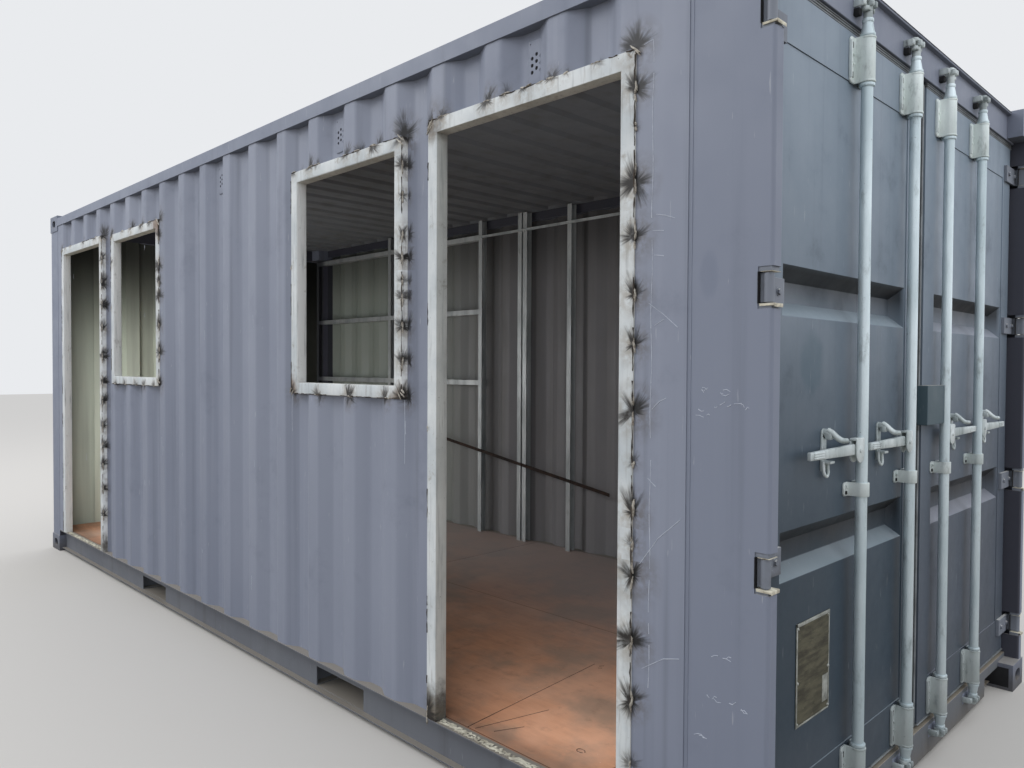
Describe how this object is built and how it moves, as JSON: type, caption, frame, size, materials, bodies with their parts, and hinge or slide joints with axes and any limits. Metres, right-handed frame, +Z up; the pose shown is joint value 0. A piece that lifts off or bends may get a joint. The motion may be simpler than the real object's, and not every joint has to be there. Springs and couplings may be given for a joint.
{
  "type": "shipping container cabin",
  "caption": "Steel shipping container turned into a cabin: corrugated walls with framed doorways and windows cut through, cargo doors with lock rods, studs inside",
  "frame": {"origin": "on the ground under the middle of the container", "axes": "+X towards the cargo door end, +Y towards the back wall, +Z up"},
  "size_m": [6.058, 2.438, 2.591],
  "materials": {
    "frame_paint": "faded blue-grey container paint, scuffed and rust spotted",
    "wall_paint": "dusty blue-grey paint on corrugated sheet",
    "rail_paint": "dark grey paint",
    "opening_frame": "pale primer with weld scorch and rust at the joints",
    "door_paint": "darker slate blue-green paint, scratched",
    "lock_gear": "dull galvanised steel",
    "stud_steel": "bright galvanised sheet",
    "rusty_bar": "rusted flat bar",
    "seal_rubber": "weathered grey rubber",
    "floor_wood": "worn reddish brown container plywood",
    "plate_metal": "bare plate, dusty",
    "vent_plastic": "painted over plastic cover"
  },
  "bodies": {
    "body": {"corner_castings": "frame_paint", "door_end_posts": "frame_paint", "door_end_sill": "frame_paint", "door_end_header": "frame_paint", "far_end_posts": "frame_paint", "far_end_rails": "frame_paint", "top_side_rails": "frame_paint", "bottom_side_rails": "rail_paint", "cross_members_far_end": "rail_paint", "cross_members_middle": "rail_paint", "cross_members_door_end": "rail_paint", "fork_pocket_plates": "rail_paint", "floor_boards": "floor_wood", "roof_sheet": "wall_paint", "back_wall": "wall_paint", "far_end_wall": "wall_paint", "front_wall_top": "wall_paint", "front_wall_far_strip": "wall_paint", "front_wall_far_pier": "wall_paint", "front_wall_below_far_window": "wall_paint", "front_wall_middle": "wall_paint", "front_wall_below_near_window": "wall_paint", "front_wall_near_pier": "wall_paint", "front_wall_near_strip": "wall_paint", "far_doorway_frame": "opening_frame", "near_doorway_frame": "opening_frame", "far_window_frame": "opening_frame", "near_window_frame": "opening_frame", "ventilators": "vent_plastic", "wall_studs": "stud_steel", "stud_rails": "stud_steel", "wall_brace": "rusty_bar", "door_hinge_pins": "lock_gear", "lock_keepers": "lock_gear"},
    "left_door": {"left_door_leaf": "door_paint", "left_door_seal": "seal_rubber", "left_hinge_blades": "door_paint", "left_rod_brackets": "lock_gear", "left_handle_catches": "lock_gear", "data_plate": "plate_metal"},
    "right_door": {"right_door_leaf": "door_paint", "right_door_seal": "seal_rubber", "right_hinge_blades": "door_paint", "right_rod_brackets": "lock_gear", "right_handle_catches": "lock_gear", "lock_box": "door_paint"},
    "left_outer_rod": {"left_outer_lock_rod": "lock_gear"},
    "left_inner_rod": {"left_inner_lock_rod": "lock_gear"},
    "right_inner_rod": {"right_inner_lock_rod": "lock_gear"},
    "right_outer_rod": {"right_outer_lock_rod": "lock_gear"}
  },
  "joints": [
    {"name": "left_door_hinge", "type": "hinge", "parent": "body", "child": "left_door", "pos_m": [3.007, -1.2, 1.3], "axis": [0, 0, -1], "range_deg": [0, 255]},
    {"name": "right_door_hinge", "type": "hinge", "parent": "body", "child": "right_door", "pos_m": [3.007, 1.2, 1.3], "axis": [0, 0, 1], "range_deg": [0, 255]},
    {"name": "left_outer_rod_turn", "type": "hinge", "parent": "left_door", "child": "left_outer_rod", "pos_m": [2.994, -0.586, 1.3], "axis": [0, 0, -1], "range_deg": [-100, 0]},
    {"name": "left_inner_rod_turn", "type": "hinge", "parent": "left_door", "child": "left_inner_rod", "pos_m": [2.994, -0.178, 1.3], "axis": [0, 0, -1], "range_deg": [-100, 0]},
    {"name": "right_inner_rod_turn", "type": "hinge", "parent": "right_door", "child": "right_inner_rod", "pos_m": [2.994, 0.178, 1.3], "axis": [0, 0, 1], "range_deg": [-100, 0]},
    {"name": "right_outer_rod_turn", "type": "hinge", "parent": "right_door", "child": "right_outer_rod", "pos_m": [2.994, 0.586, 1.3], "axis": [0, 0, 1], "range_deg": [-100, 0]}
  ]
}
